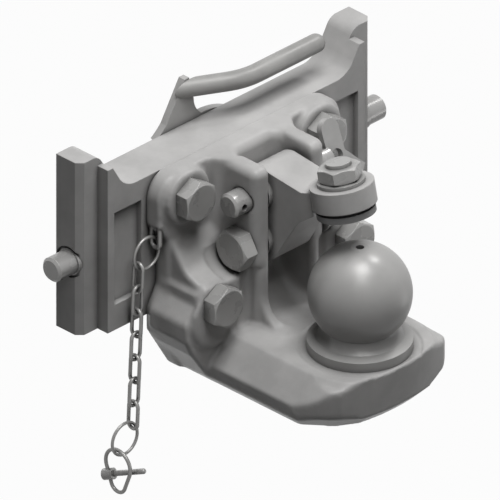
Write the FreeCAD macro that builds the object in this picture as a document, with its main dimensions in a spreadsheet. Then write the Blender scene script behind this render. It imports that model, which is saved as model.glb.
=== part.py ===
import FreeCAD, Part
import math
import os
import Sketcher

# Automatic height-adjustable tractor hitch with an 80 mm ball.
# Origin at the ball's centre. +X to the right, +Y to the tractor, +Z up. All sizes in millimetres.

Vector = FreeCAD.Vector
Placement = FreeCAD.Placement
Rotation = FreeCAD.Rotation

os.makedirs("parts", exist_ok=True)
doc = FreeCAD.newDocument("tractor_hitch")

SIZES = [
    ("slide_back", 168, "back face of the slide, from the ball's centre"),
    ("slide_width", 312, "over both rails"),
    ("slide_bottom", -34, "lower edge of the slide"),
    ("slide_height", 150, "rail height"),
    ("rail_depth", 25, "rail thickness, front to back"),
    ("rail_chamfer", 5, "on the outer front edges of the rails"),
    ("block_width", 274, "thick middle block of the slide"),
    ("block_step", 11, "middle block proud of the rails"),
    ("block_height", 120, "middle block, from the lower edge"),
    ("shoulder_corner", 136, "where the shoulder's slope meets the rail top"),
    ("shoulder_slope", 60, "degrees"),
    ("field_inner", 101, "recessed field of the block, inner edge"),
    ("field_outer", 130, "recessed field of the block, outer edge"),
    ("field_bottom", -12, "recessed field, lower edge"),
    ("field_top", 68, "recessed field, upper edge"),
    ("field_depth", 5, "recessed field"),
    ("lock_height", 27, "axis of the locking pins"),
    ("lock_inset", 13, "locking pin axis in front of the slide's back"),
    ("lock_diameter", 20, "locking pin"),
    ("lock_reach", 19, "locking pin out of the rail"),
    ("lock_body", 22, "locking pin inside the slide"),
    ("lock_shoulder", 0.3, "locking pin's shoulder inside the rail's face"),
    ("lock_travel", 20, "locking pin"),
    ("lock_head_length", 60, "thick part of the locking pin"),
    ("lock_chamfer", 2, "locking pin end"),
    ("lock_mouth", 26, "countersink round the locking pin"),
    ("lock_mouth_depth", 2.5, "countersink depth"),
    ("running_gap", 0.06, "radial clearance of running pins"),
    ("tail_diameter", 12, "locking pin tail"),
    ("bore_floor", 68, "bottom of the locking pin bore"),
    ("tail_end", 42, "inner end of the tail"),
    ("slot_inner", 20, "rear slot for the follower, inner end"),
    ("slot_outer", 60, "rear slot for the follower, outer end"),
    ("slot_height", 15, "rear slot for the follower"),
    ("follower_radius", 50, "follower stud from the lever's pivot"),
    ("follower_diameter", 8, "follower stud"),
    ("follower_head", 13, "follower stud head diameter"),
    ("follower_head_height", 3, "follower stud head"),
    ("cam_gap", 0.15, "follower stud in its cam slot, each side"),
    ("spring_wire", 2.5, "pin spring wire"),
    ("spring_mean", 15.6, "pin spring mean diameter"),
    ("spring_turns", 6, "pin spring"),
    ("lever_thickness", 6, "cam lever plate"),
    ("lever_gap", 0.3, "lever plate behind the slide"),
    ("lever_radius", 61, "cam disc"),
    ("lever_turn", 30, "degrees of lever travel"),
    ("lever_shoulder", 20, "shoulder bolt in the lever plate"),
    ("lever_thread", 16, "lever shoulder bolt thread"),
    ("lever_thread_length", 24, "in the slide"),
    ("lever_head_flats", 30, "across flats"),
    ("lever_head_height", 10, "shoulder bolt head"),
    ("grip_diameter", 15, "bent grip bar"),
    ("grip_height", 115, "plane of the grip bar"),
    ("grip_root", -12.8, "where the bar meets the horn"),
    ("grip_angle", 28.4, "degrees, first run of the bar"),
    ("grip_line", 148, "distance of the bar's straight run"),
    ("grip_end", 108, "right end of the bar"),
    ("grip_bend", 55, "bend radius of the bar"),
    ("flange_width", 194, "hitch flange"),
    ("flange_top", 88, "top of the hitch casting"),
    ("flange_thickness", 15, "hitch flange"),
    ("flange_corner", 21, "upper corners of the flange"),
    ("flange_rim", 3, "rounded front edge of the flange"),
    ("lobe_bottom", 44, "lower end of the upper flange lobes"),
    ("waist_inset", 10, "waist of the casting inside the flange's width"),
    ("waist_top", 32, "waist, upper end"),
    ("waist_bottom", -8, "waist, lower end"),
    ("foot_top", -27, "widest part of the lower flange, upper end"),
    ("foot_bottom", -46, "widest part of the lower flange, lower end"),
    ("foot_floor", -84, "underside of the lower flange"),
    ("foot_floor_width", 148, "underside of the lower flange"),
    ("foot_proud", 2.5, "lower bosses wider than the flange, each side"),
    ("foot_rim", 3, "rounded front edge of the lower bosses"),
    ("back_rim", 6, "rim of the flange behind the lower bosses"),
    ("shelf_top", 4.5, "upper side of the lower bolt bosses"),
    ("shelf_rise", 3, "shelf's rise towards the flange"),
    ("shelf_back", 96, "where the shelf turns up"),
    ("slope_foot", 105, "lower end of the slope"),
    ("slope_foot_height", 15, "lower end of the slope"),
    ("slope_top", 32, "upper end of the slope"),
    ("slope_hollow", 16, "hollow between slope and shelf"),
    ("slope_inset", 2, "slope inside the waist"),
    ("boss_front", 85, "front face of the lower bolt bosses"),
    ("bolt_spacing_x", 140, "flange bolts across"),
    ("bolt_row_upper", 66, "upper flange bolts"),
    ("bolt_row_lower", -14, "lower flange bolts"),
    ("bolt_diameter", 20, "flange bolts"),
    ("bolt_flats", 30, "across flats"),
    ("bolt_head_height", 12.5, "hexagon head"),
    ("bolt_hole_gap", 0.5, "radial clearance in the flange"),
    ("seat_upper", 45, "upper raised bolt seats"),
    ("seat_diameter", 50, "lower raised bolt seats"),
    ("seat_height_upper", 6, "raised bolt seats on the flange"),
    ("seat_height_lower", 3.5, "raised bolt seats on the bosses"),
    ("seat_drop", 13, "lower seats are longer by this"),
    ("thread_bite", 34, "bolt length in the slide"),
    ("lug_inner", 22.5, "inner face of each lug"),
    ("lug_outer", 38, "outer face of each lug"),
    ("lug_root", 43, "outer face of each lug at the flange"),
    ("lug_front", 73.5, "front of the lugs"),
    ("lug_round", 8, "front outer corners of the lugs"),
    ("lug_top_round", 7, "upper outer edge of the lugs"),
    ("lug_nose_bottom", 5, "lower end of the lugs' full width"),
    ("web_outer", 34, "outer face of the lugs under their noses"),
    ("pocket_back", 112, "back wall between the lugs"),
    ("pocket_corner", 9, "upright corners of the back wall"),
    ("pocket_round", 8, "upper edge of the back wall"),
    ("heel_round", 24, "hollow between the lugs' front and the platform"),
    ("heel_width", 30.6, "half width of the heel under the lugs"),
    ("pocket_sweep", 37, "curve from the back wall down to the platform"),
    ("pin_line", 88, "axes of hold-down pin and pivot bolt"),
    ("pin_height", 60, "hold-down pin axis"),
    ("pivot_height", 20, "pivot bolt axis"),
    ("pin_diameter", 20, "hold-down pin and pivot bolt"),
    ("pin_left", -53, "left end of the hold-down pin"),
    ("pin_right", 52, "right end of the hold-down pin"),
    ("pin_chamfer", 2, "hold-down pin end"),
    ("linch_hole", 5.5, "cross hole for the linch pin"),
    ("linch_hole_inset", 8, "cross hole from the pin's end"),
    ("handle_thickness", 5.5, "flat handle"),
    ("handle_tongue", 17.5, "width of the handle's upper tongue"),
    ("handle_lean", 21, "degrees"),
    ("handle_forward", 2.9, "handle in front of the pin's axis"),
    ("handle_hole", 11.6, "hole in the handle"),
    ("handle_above", 30, "handle above its hole"),
    ("handle_below", 21, "handle below its hole"),
    ("handle_foot", 30, "width of the handle's lower end"),
    ("handle_offset", 6.5, "handle's hole beyond the pin's end"),
    ("handle_socket", 6, "depth of the handle in the pin's slot"),
    ("arm_width", 36, "hold-down arm"),
    ("arm_hub", 19.5, "radius of the arm round its pins"),
    ("arm_edge", 2.5, "edge rounds of the arm"),
    ("pad_tilt", 12.7, "degrees, eye of the arm from vertical"),
    ("eye_diameter", 50, "eye of the arm"),
    ("eye_top", 89.7, "upper face of the eye, from the ball's centre"),
    ("eye_height", 17, "eye of the arm"),
    ("bush_outer", 27, "arm bushes"),
    ("bush_gap", 0.3, "bush to lug, each side"),
    ("pivot_head_flats", 30, "across flats"),
    ("pivot_head_height", 12.5, "pivot bolt head"),
    ("pivot_seat", 39, "machined seats on the lugs"),
    ("pivot_seat_reach", 24, "the seats' cut into the flange's slope"),
    ("pivot_washer_diameter", 36, "under the pivot nut"),
    ("pivot_washer_height", 3, "under the pivot nut"),
    ("pivot_nut_height", 16, "pivot nut"),
    ("screw_diameter", 20, "pad screw"),
    ("screw_above_nut", 3, "pad screw over its nut"),
    ("nut_flats", 30, "across flats"),
    ("nut_height", 11.5, "lock nut of the pad screw"),
    ("nut_washer_diameter", 37, "under the lock nut"),
    ("nut_washer_height", 3, "under the lock nut"),
    ("ring_diameter", 41, "dark ring over the pad"),
    ("ring_height", 3, "dark ring over the pad"),
    ("pad_diameter", 46, "pressure pad"),
    ("pad_height", 5, "pressure pad"),
    ("ball_diameter", 80, "coupling ball"),
    ("ball_flat", 13.5, "flat on top of the ball"),
    ("ball_hole", 6.5, "hole on top of the ball"),
    ("ball_hole_depth", 8, "hole on top of the ball"),
    ("neck_diameter", 56, "narrowest part under the ball"),
    ("neck_foot", 67, "where the neck meets the collar"),
    ("collar_diameter", 81, "collar under the ball"),
    ("collar_rim", 8.2, "collar rim height"),
    ("collar_rise", 2.2, "collar's slope above its rim"),
    ("shank_diameter", 46, "ball shank in the platform"),
    ("platform_top", -46, "upper face of the platform"),
    ("platform_floor", -88, "underside of the platform"),
    ("platform_flat", 112, "width of the flat on the platform"),
    ("platform_width", 152, "platform over its edges"),
    ("platform_edge", -67, "upper edge of the platform's sides"),
    ("platform_side", -78, "lower edge of the platform's sides"),
    ("platform_keel", 132, "width of the platform's underside"),
    ("nose_front", -43.5, "front of the platform"),
    ("nose_corner_x", 58, "where the nose arc starts, across"),
    ("nose_corner_y", -33.5, "where the nose arc starts, along"),
    ("nose_side", -10, "where the sides turn in"),
    ("nose_turn", 34, "radius of the nose corners"),
    ("nose_bevel", 9, "bevel under the nose"),
    ("platform_rim", 4, "rounded upper edge of the platform"),
    ("cone_rim", 61.5, "sunk shoulder round the nose, radius"),
    ("cone_drop", 4, "sunk shoulder under the platform's face"),
    ("spotface_diameter", 95, "machined face round the ball"),
    ("spotface_depth", 1, "machined face round the ball"),
    ("counterbore_diameter", 62, "under the platform"),
    ("counterbore_depth", 10, "under the platform"),
    ("ball_washer_diameter", 56, "under the ball's shank"),
    ("ball_washer_height", 6, "under the ball's shank"),
    ("ball_bolt_length", 50, "in the ball's shank"),
    ("staple_inset", 3.8, "staple inside the flange's width"),
    ("staple_y", 124.5, "staple and chain, along"),
    ("staple_z", 26.8, "staple bar height"),
    ("staple_wire", 4, "staple"),
    ("staple_span", 8.4, "between the staple's legs"),
    ("staple_bite", 8, "staple legs in the flange"),
    ("ring_outer", 29, "chain rings"),
    ("ring_wire", 2.5, "chain rings"),
    ("ring_side", 9.6, "upper ring's centre beside the staple"),
    ("ring_drop", 1.6, "upper ring's centre under the staple"),
    ("link_length", 26, "chain link, outer"),
    ("link_width", 12.5, "chain link, outer"),
    ("link_wire", 3, "chain link"),
    ("link_gap", 0.3, "play between hooked pieces"),
    ("chain_lean", 2.6, "degrees"),
    ("bail_wire", 3, "linch pin bail"),
    ("bail_head_radius", 13, "wide end of the bail"),
    ("bail_foot_radius", 7.5, "narrow end of the bail"),
    ("bail_centres", 15.5, "between the bail's two rounds"),
    ("linch_diameter", 4.5, "linch pin"),
    ("linch_length", 34, "linch pin"),
    ("linch_head_diameter", 9, "linch pin head"),
    ("linch_head_length", 9, "linch pin head"),
    ("linch_swing", 14, "degrees between the pin and its bail"),
]

sheet = doc.addObject("Spreadsheet::Sheet", "Sizes")
for row, (alias, value, note) in enumerate(SIZES, start=1):
    sheet.set("A%d" % row, alias)
    sheet.set("B%d" % row, str(value))
    sheet.set("C%d" % row, note)
    sheet.setAlias("B%d" % row, alias)
doc.recompute()
ALIASES = sorted((alias for alias, value, note in SIZES), key=len, reverse=True)


def size(alias):
    """A driving dimension as a plain number."""
    return float(sheet.get(alias))


def linked(expression):
    """The expression with each alias written as a cell of the sheet."""
    words = []
    word = ""
    for letter in expression + " ":
        if letter.isalnum() or letter == "_":
            word += letter
            continue
        words.append("Sizes." + word if word in ALIASES else word)
        words.append(letter)
        word = ""
    return "".join(words).strip()


def number(expression):
    """The value of an expression of the sheet's aliases."""
    return float(sheet.evalExpression(expression))


def bind(thing, prop, expression):
    """Tie a property of a document object to the sheet."""
    thing.setExpression(prop, linked(expression))


def new_body(name):
    body = doc.addObject("PartDesign::Body", name)
    body.Label = name
    return body


def origin_item(body, role):
    for item in body.Origin.OriginFeatures:
        if item.Role == role:
            return item
    raise ValueError(role)


def attach(body, name, role, offset=None):
    """An empty sketch on an origin plane; the offset runs along the plane's normal."""
    sketch = body.newObject("Sketcher::SketchObject", name)
    sketch.AttachmentSupport = [(origin_item(body, role), "")]
    sketch.MapMode = "FlatFace"
    if offset is not None:
        bind(sketch, ".AttachmentOffset.Base.z", offset)
    return sketch


def pin_point(sketch, edge, end, x, y):
    """Fix one end of a sketch edge at two expressions."""
    for kind, expression in (("DistanceX", x), ("DistanceY", y)):
        rule = Sketcher.Constraint(kind, -1, 1, edge, end, number(expression))
        bind(sketch, "Constraints[%d]" % sketch.addConstraint(rule), expression)


def arc_between(start, end, radius, side):
    """The short arc from start to end; side is +1 with its centre to the left of the way."""
    chord = end.sub(start)
    middle = (start + end) * 0.5
    rise = math.sqrt(radius ** 2 - (chord.Length / 2) ** 2)
    left = Vector(-chord.y, chord.x, 0).normalize()
    centre = middle + left * (side * rise)
    first, last = (start, end) if side > 0 else (end, start)
    circle = Part.Circle(centre, Vector(0, 0, 1), radius)
    from_angle = math.atan2(first.y - centre.y, first.x - centre.x)
    to_angle = math.atan2(last.y - centre.y, last.x - centre.x)
    return Part.ArcOfCircle(circle, from_angle, to_angle)


def draw_loop(sketch, corners, arcs=None):
    """A closed outline. arcs maps a corner's number to the radius and side of the arc after it."""
    arcs = arcs or {}
    points = [Vector(number(x), number(y), 0) for x, y in corners]
    count = len(points)
    ends = []
    for i in range(count):
        start = points[i]
        end = points[(i + 1) % count]
        if i in arcs:
            radius, side = arcs[i]
            edge = sketch.addGeometry(arc_between(start, end, number(radius), side))
            ends.append((edge, 1, 2) if side > 0 else (edge, 2, 1))
        else:
            edge = sketch.addGeometry(Part.LineSegment(start, end))
            ends.append((edge, 1, 2))
    for i in range(count):
        after = ends[(i + 1) % count]
        sketch.addConstraint(Sketcher.Constraint("Coincident", ends[i][0], ends[i][2], after[0], after[1]))
    for i, (x, y) in enumerate(corners):
        pin_point(sketch, ends[i][0], ends[i][1], x, y)
        if i in arcs:
            rule = Sketcher.Constraint("Radius", ends[i][0], number(arcs[i][0]))
            bind(sketch, "Constraints[%d]" % sketch.addConstraint(rule), arcs[i][0])


def draw_circle(sketch, x, y, radius):
    """A circle with its centre and radius given as expressions."""
    circle = Part.Circle(Vector(number(x), number(y), 0), Vector(0, 0, 1), number(radius))
    edge = sketch.addGeometry(circle)
    pin_point(sketch, edge, 3, x, y)
    rule = Sketcher.Constraint("Radius", edge, number(radius))
    bind(sketch, "Constraints[%d]" % sketch.addConstraint(rule), radius)


def feature(body, kind, sketch, length, reverse=False, midplane=False):
    """A pad or pocket of a sketch; a pocket has to remove metal."""
    before = body.Shape.Volume if body.Tip else 0
    made = body.newObject("PartDesign::" + kind, sketch.Name + "_" + kind.lower())
    made.Profile = sketch
    made.Reversed = reverse
    made.Midplane = midplane
    bind(made, "Length", length)
    sketch.Visibility = False
    doc.recompute()
    changed = body.Shape.Volume - before
    if changed == 0 or (changed > 0) != (kind == "Pad"):
        raise ValueError("%s of %s changes nothing" % (kind, sketch.Name))
    return made


def turned(body, kind, sketch, role):
    """A revolution or groove of a sketch round one of the body's axes."""
    made = body.newObject("PartDesign::" + kind, sketch.Name + "_" + kind.lower())
    made.Profile = sketch
    made.ReferenceAxis = (origin_item(body, role), [""])
    made.Angle = 360
    sketch.Visibility = False
    doc.recompute()
    return made


def round_off(body, name, radius, chosen, kind="Fillet"):
    """Round or chamfer the edges that the test picks."""
    base = body.Tip
    names = ["Edge%d" % (i + 1) for i, edge in enumerate(base.Shape.Edges) if chosen(edge)]
    if not names:
        raise ValueError("no edge for " + name)
    made = body.newObject("PartDesign::" + kind, name)
    made.Base = (base, names)
    bind(made, "Radius" if kind == "Fillet" else "Size", radius)
    doc.recompute()
    return made


def near(value, target, slack=0.05):
    return abs(value - target) < slack


def along(edge, axis):
    """True for a straight edge parallel to a row axis."""
    if edge.Degenerated or not isinstance(edge.Curve, Part.Line):
        return False
    direction = edge.Curve.Direction
    return near(abs(getattr(direction, axis)), 1, 1e-4)


def plain(name, shape, placement=None):
    """A sub-part whose shape is worked out from the sheet."""
    item = doc.addObject("Part::Feature", name)
    item.Label = name
    item.Shape = shape
    if placement is not None:
        item.Placement = placement
    return item


def hexagon(flats):
    """Corners of a hexagon with two flats parallel to the sketch's Y axis."""
    corners = []
    for i in range(6):
        angle = 60 * i + 30
        corners.append(("%s / sqrt(3) * cos(%d)" % (flats, angle), "%s / sqrt(3) * sin(%d)" % (flats, angle)))
    return corners


def add_hexagon(body, name, flats, low, height, chamfer_top=True, chamfer_low=False):
    """A hexagon prism along the body's Z axis, with turned chamfers on its corners."""
    sketch = attach(body, name, "XY_Plane", low)
    draw_loop(sketch, hexagon(flats))
    feature(body, "Pad", sketch, height)
    reach = "(%s * 0.7)" % flats
    inner = "(%s * 0.475)" % flats
    drop = "(%s * 0.225 * tan(30))" % flats
    if chamfer_top:
        cut = attach(body, name + "_upper", "XZ_Plane")
        top = "(%s + %s)" % (low, height)
        draw_loop(cut, [(inner, top), (reach, top), (reach, "%s - %s" % (top, drop))])
        turned(body, "Groove", cut, "Z_Axis")
    if chamfer_low:
        cut = attach(body, name + "_lower", "XZ_Plane")
        draw_loop(cut, [(inner, low), (reach, "%s + %s" % (low, drop)), (reach, low)])
        turned(body, "Groove", cut, "Z_Axis")


def add_round(body, name, radius, low, height):
    """A cylinder along the body's Z axis."""
    sketch = attach(body, name, "XY_Plane", low)
    draw_circle(sketch, "0", "0", radius)
    feature(body, "Pad", sketch, height)


def place(body, position, axis=None, angle="0"):
    """Bind the sub-part's Placement: its position as three expressions and a turn about an axis."""
    if axis is not None:
        body.Placement = Placement(Vector(0, 0, 0), Rotation(axis, 90))
        bind(body, ".Placement.Rotation.Angle", angle)
    for letter, expression in zip("xyz", position):
        bind(body, ".Placement.Base." + letter, expression)
    doc.recompute()


FRONT = "(slide_back - rail_depth - block_step)"
LOCK_LINE = "(slide_back - lock_inset)"
SLOPE_RUN = "((slide_height - block_height) / tan(shoulder_slope))"
SHOULDER_ROUND = "((slide_height - block_height) * 0.367)"
SHOULDER_HOLLOW = "((slide_height - block_height) * 0.7)"
WAIST = "(flange_width / 2 - waist_inset)"
STAPLE_X = "(staple_inset - flange_width / 2)"


def make_carriage():
    """Cast slide: two rails, a thicker block between them, bores for the locking pins."""
    body = new_body("carriage")
    top = "slide_bottom + slide_height"
    block_top = "slide_bottom + block_height"
    plate = attach(body, "slide_outline", "XZ_Plane", "-slide_back")
    draw_loop(plate, [
        ("-slide_width / 2", "slide_bottom"),
        ("slide_width / 2", "slide_bottom"),
        ("slide_width / 2", top),
        ("shoulder_corner", top),
        ("shoulder_corner - " + SLOPE_RUN, block_top),
        ("-shoulder_corner + " + SLOPE_RUN, block_top),
        ("-shoulder_corner", top),
        ("-slide_width / 2", top),
    ])
    feature(body, "Pad", plate, "rail_depth")
    block = attach(body, "block_outline", "XZ_Plane", "-slide_back + rail_depth")
    draw_loop(block, [
        ("-block_width / 2", "slide_bottom"),
        ("block_width / 2", "slide_bottom"),
        ("block_width / 2", top + " - 8"),
        ("shoulder_corner - 8 / tan(shoulder_slope)", top + " - 8"),
        ("shoulder_corner - " + SLOPE_RUN, block_top),
        ("-shoulder_corner + " + SLOPE_RUN, block_top),
        ("-shoulder_corner + 8 / tan(shoulder_slope)", top + " - 8"),
        ("-block_width / 2", top + " - 8"),
    ])
    feature(body, "Pad", block, "block_step")
    corner = size("shoulder_corner")
    high = number(top)
    low = number(block_top)
    foot = corner - number(SLOPE_RUN)
    round_off(body, "shoulder_rounds", SHOULDER_ROUND, lambda edge: along(edge, "y")
              and near(abs(edge.CenterOfMass.x), corner) and near(edge.CenterOfMass.z, high))
    round_off(body, "shoulder_hollows", SHOULDER_HOLLOW, lambda edge: along(edge, "y")
              and near(abs(edge.CenterOfMass.x), foot) and near(edge.CenterOfMass.z, low))
    side = size("slide_width") / 2
    rail_front = size("slide_back") - size("rail_depth")
    round_off(body, "rail_chamfers", "rail_chamfer", lambda edge: along(edge, "z")
              and near(abs(edge.CenterOfMass.x), side) and near(edge.CenterOfMass.y, rail_front), "Chamfer")
    field = attach(body, "field_outline", "XZ_Plane", "-" + FRONT)
    for sign in ("-", ""):
        draw_loop(field, [
            (sign + "field_inner", "field_bottom"),
            (sign + "field_outer", "field_bottom"),
            (sign + "field_outer", "field_top"),
            (sign + "field_inner", "field_top"),
        ])
    feature(body, "Pocket", field, "field_depth")
    holes = attach(body, "thread_holes", "XZ_Plane", "-" + FRONT)
    for sign in ("-", ""):
        for height in ("bolt_row_upper", "bolt_row_lower"):
            draw_circle(holes, sign + "bolt_spacing_x / 2", height, "bolt_diameter / 2 + running_gap")
    feature(body, "Pocket", holes, "rail_depth + block_step")
    pivot = attach(body, "pivot_hole", "XZ_Plane", "-slide_back")
    draw_circle(pivot, "0", "lock_height", "lever_thread / 2 + running_gap")
    feature(body, "Pocket", pivot, "lever_thread_length + 2", reverse=True)
    slots = attach(body, "follower_slots", "XZ_Plane", "-slide_back")
    for sign in ("-", ""):
        draw_loop(slots, [
            (sign + "slot_inner", "lock_height - slot_height / 2"),
            (sign + "slot_outer", "lock_height - slot_height / 2"),
            (sign + "slot_outer", "lock_height + slot_height / 2"),
            (sign + "slot_inner", "lock_height + slot_height / 2"),
        ])
    feature(body, "Pocket", slots, "lock_inset + slot_height / 2", reverse=True)
    for sign, reverse in (("", True), ("-", False)):
        tag = "right" if reverse else "left"
        tail = attach(body, "tail_hole_" + tag, "YZ_Plane", sign + "(slot_outer - 1)")
        draw_circle(tail, LOCK_LINE, "lock_height", "tail_diameter / 2 + running_gap")
        feature(body, "Pocket", tail, "bore_floor - slot_outer + 2", reverse=reverse)
        bore = attach(body, "pin_bore_" + tag, "YZ_Plane", sign + "bore_floor")
        draw_circle(bore, LOCK_LINE, "lock_height", "lock_body / 2 + running_gap")
        feature(body, "Pocket", bore, "slide_width / 2 - bore_floor", reverse=reverse)
        mouth = attach(body, "pin_mouth_" + tag, "YZ_Plane", sign + "(slide_width / 2 - lock_mouth_depth)")
        draw_circle(mouth, LOCK_LINE, "lock_height", "lock_mouth / 2")
        feature(body, "Pocket", mouth, "lock_mouth_depth", reverse=reverse)
    return body


def make_locking_pin(name, side):
    """Turned pin along its own Z axis, thick outside and slim inside, with a cross hole for its stud."""
    body = new_body(name)
    tip = "(slide_width / 2 + lock_reach)"
    profile = attach(body, name + "_profile", "XZ_Plane")
    draw_loop(profile, [
        ("0", "tail_end"),
        ("tail_diameter / 2", "tail_end"),
        ("tail_diameter / 2", tip + " - lock_head_length"),
        ("lock_body / 2", tip + " - lock_head_length"),
        ("lock_body / 2", "slide_width / 2 - lock_shoulder"),
        ("lock_diameter / 2", "slide_width / 2 - lock_shoulder"),
        ("lock_diameter / 2", tip + " - lock_chamfer"),
        ("lock_diameter / 2 - lock_chamfer", tip),
        ("0", tip),
    ])
    turned(body, "Revolution", profile, "Z_Axis")
    hole = attach(body, name + "_stud_hole", "XZ_Plane", "tail_diameter / 2 + 1")
    draw_circle(hole, "0", "follower_radius", "follower_diameter / 2 + running_gap")
    feature(body, "Pocket", hole, "tail_diameter + 2")
    axis = Vector(0, side, 0)
    place(body, ("0", LOCK_LINE, "lock_height"), axis, "90")
    return body


def make_follower(name, sign):
    """Stud from the pin's tail through the cam slot, with a flat head behind the lever."""
    body = new_body(name)
    start = "(0 - tail_diameter / 2)"
    end = "(lock_inset + lever_gap + lever_thickness + cam_gap)"
    add_round(body, name + "_shank", "follower_diameter / 2", start, end + " - " + start)
    add_round(body, name + "_head", "follower_head / 2", end, "follower_head_height")
    place(body, (sign + "follower_radius", LOCK_LINE, "lock_height"), Vector(-1, 0, 0), "90")
    return body


def make_spring(name, side):
    """Coil spring round the pin's tail, between the bore's floor and the pin's shoulder."""
    wire = size("spring_wire")
    start = size("bore_floor") + wire / 2
    end = number("slide_width / 2 + lock_reach - lock_head_length") - wire / 2
    turns = size("spring_turns")
    helix = Part.makeHelix((end - start) / turns, end - start, size("spring_mean") / 2)
    section = Part.Wire(Part.makeCircle(wire / 2, Vector(size("spring_mean") / 2, 0, 0), Vector(0, 1, 0)))
    coil = Part.Wire(helix.Edges).makePipeShell([section], True, True)
    centre = Vector(side * start, number(LOCK_LINE), size("lock_height"))
    return plain(name, coil, Placement(centre, Rotation(Vector(0, side, 0), 90)))


def cam_slot(sign):
    """One cam slot: its middle line nears the pivot evenly as the lever turns."""
    half = number("follower_diameter / 2 + cam_gap")
    outer = size("follower_radius")
    fall = size("lock_travel") / math.radians(size("lever_turn"))
    overrun = 0.4 / outer
    steps = 12
    sides = ([], [])
    for i in range(steps + 1):
        turn = -overrun + (math.radians(size("lever_turn")) + 2 * overrun) * i / steps
        radius = outer - fall * turn
        point = Vector(radius * math.cos(turn), 0, -radius * math.sin(turn))
        tangent = Vector(
            -fall * math.cos(turn) - radius * math.sin(turn),
            0,
            fall * math.sin(turn) - radius * math.cos(turn),
        ).normalize()
        normal = Vector(-tangent.z, 0, tangent.x)
        sides[0].append(point + normal * half)
        sides[1].append(point - normal * half)
        if i == 0:
            first_cap = point - tangent * half
        last_cap = point + tangent * half
    edges = []
    for line in sides:
        curve = Part.BSplineCurve()
        curve.interpolate(line)
        edges.append(curve.toShape())
    edges.append(Part.Arc(sides[0][0], first_cap, sides[1][0]).toShape())
    edges.append(Part.Arc(sides[0][-1], last_cap, sides[1][-1]).toShape())
    wire = Part.Wire(Part.__sortEdges__(edges))
    thickness = size("lever_thickness")
    tool = Part.Face(wire).extrude(Vector(0, thickness + 2, 0))
    tool.translate(Vector(0, -1, 0))
    if sign < 0:
        tool.rotate(Vector(0, 0, 0), Vector(0, 1, 0), 180)
    return tool


def make_lever_plate():
    """Cam disc with a horn that rises behind the slide and carries the grip."""
    thickness = size("lever_thickness")
    radius = size("lever_radius")
    disc = Part.makeCylinder(radius, thickness, Vector(0, 0, 0), Vector(0, 1, 0))
    horn_top = size("grip_height") + 9 - size("lock_height")
    shelf = radius - 0.5
    rise = horn_top - shelf
    left_foot = Vector(-0.803 * radius, 0, 0.918 * radius)
    left_knee = Vector(-0.63 * radius, 0, shelf + 0.123 * rise)
    left_top = Vector(-0.31 * radius, 0, horn_top)
    right_top = Vector(-0.23 * radius, 0, horn_top)
    right_bend = Vector(-0.148 * radius, 0, shelf + 0.45 * rise)
    right_knee = Vector(0, 0, shelf)
    right_foot = Vector(0.246 * radius, 0, shelf - 2)
    edges = [
        Part.Arc(left_foot, Vector(-0.713 * radius, 0, shelf - 0.01 * rise), left_knee).toShape(),
        Part.LineSegment(left_knee, left_top).toShape(),
        Part.LineSegment(left_top, right_top).toShape(),
        Part.LineSegment(right_top, right_bend).toShape(),
        Part.Arc(right_bend, Vector(-0.098 * radius, 0, shelf + 0.164 * rise), right_knee).toShape(),
        Part.LineSegment(right_knee, right_foot).toShape(),
        Part.LineSegment(right_foot, Vector(0, 0, 0)).toShape(),
        Part.LineSegment(Vector(0, 0, 0), left_foot).toShape(),
    ]
    horn = Part.Face(Part.Wire(edges)).extrude(Vector(0, thickness, 0))
    plate = disc.fuse(horn).removeSplitter()
    shoulder = number("lever_shoulder / 2 + running_gap")
    hole = Part.makeCylinder(shoulder, thickness + 2, Vector(0, -1, 0), Vector(0, 1, 0))
    plate = plate.cut(hole).cut(cam_slot(1)).cut(cam_slot(-1))
    position = Vector(0, number("slide_back + lever_gap"), size("lock_height"))
    return plain("cam_lever_plate", plate, Placement(position, Rotation()))


def make_grip():
    """Round bar, bent once, welded to the horn's front face; its right end is rounded."""
    radius = size("grip_diameter") / 2
    face = number("slide_back + lever_gap")
    angle = math.radians(size("grip_angle"))
    root = Vector(size("grip_root"), face, size("grip_height"))
    heading = Vector(math.cos(angle), -math.sin(angle), 0)
    corner = root + heading * ((face - size("grip_line")) / math.sin(angle))
    reach = size("grip_bend") * math.tan(angle / 2)
    before = corner - heading * reach
    after = corner + Vector(reach, 0, 0)
    inward = Vector(-heading.y, heading.x, 0)
    centre = before + inward * size("grip_bend")
    middle = centre + (corner - centre).normalize() * size("grip_bend")
    start = root - heading * (2.2 * radius)
    end = Vector(size("grip_end") - radius, size("grip_line"), size("grip_height"))
    path = Part.Wire([
        Part.LineSegment(start, before).toShape(),
        Part.Arc(before, middle, after).toShape(),
        Part.LineSegment(after, end).toShape(),
    ])
    section = Part.Wire(Part.makeCircle(radius, start, heading))
    bar = path.makePipeShell([section], True, False)
    bar = bar.fuse(Part.makeSphere(radius, end)).removeSplitter()
    behind = Part.makeBox(20 * radius, 8 * radius, 8 * radius, Vector(root.x - 10 * radius, face, root.z - 4 * radius))
    return plain("grip_bar", bar.cut(behind))


def make_lever_bolt():
    """Shoulder bolt: thread in the slide, plain shoulder in the lever plate, hexagon head behind."""
    body = new_body("lever_pivot_bolt")
    shoulder = "(lever_gap + lever_thickness + lever_gap)"
    add_round(body, "lever_bolt_thread", "lever_thread / 2", "0 - lever_thread_length", "lever_thread_length")
    add_round(body, "lever_bolt_shoulder", "lever_shoulder / 2", "0", shoulder)
    add_hexagon(body, "lever_bolt_head", "lever_head_flats", shoulder, "lever_head_height")
    place(body, ("0", "slide_back", "lock_height"), Vector(-1, 0, 0), "90")
    return body


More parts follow.
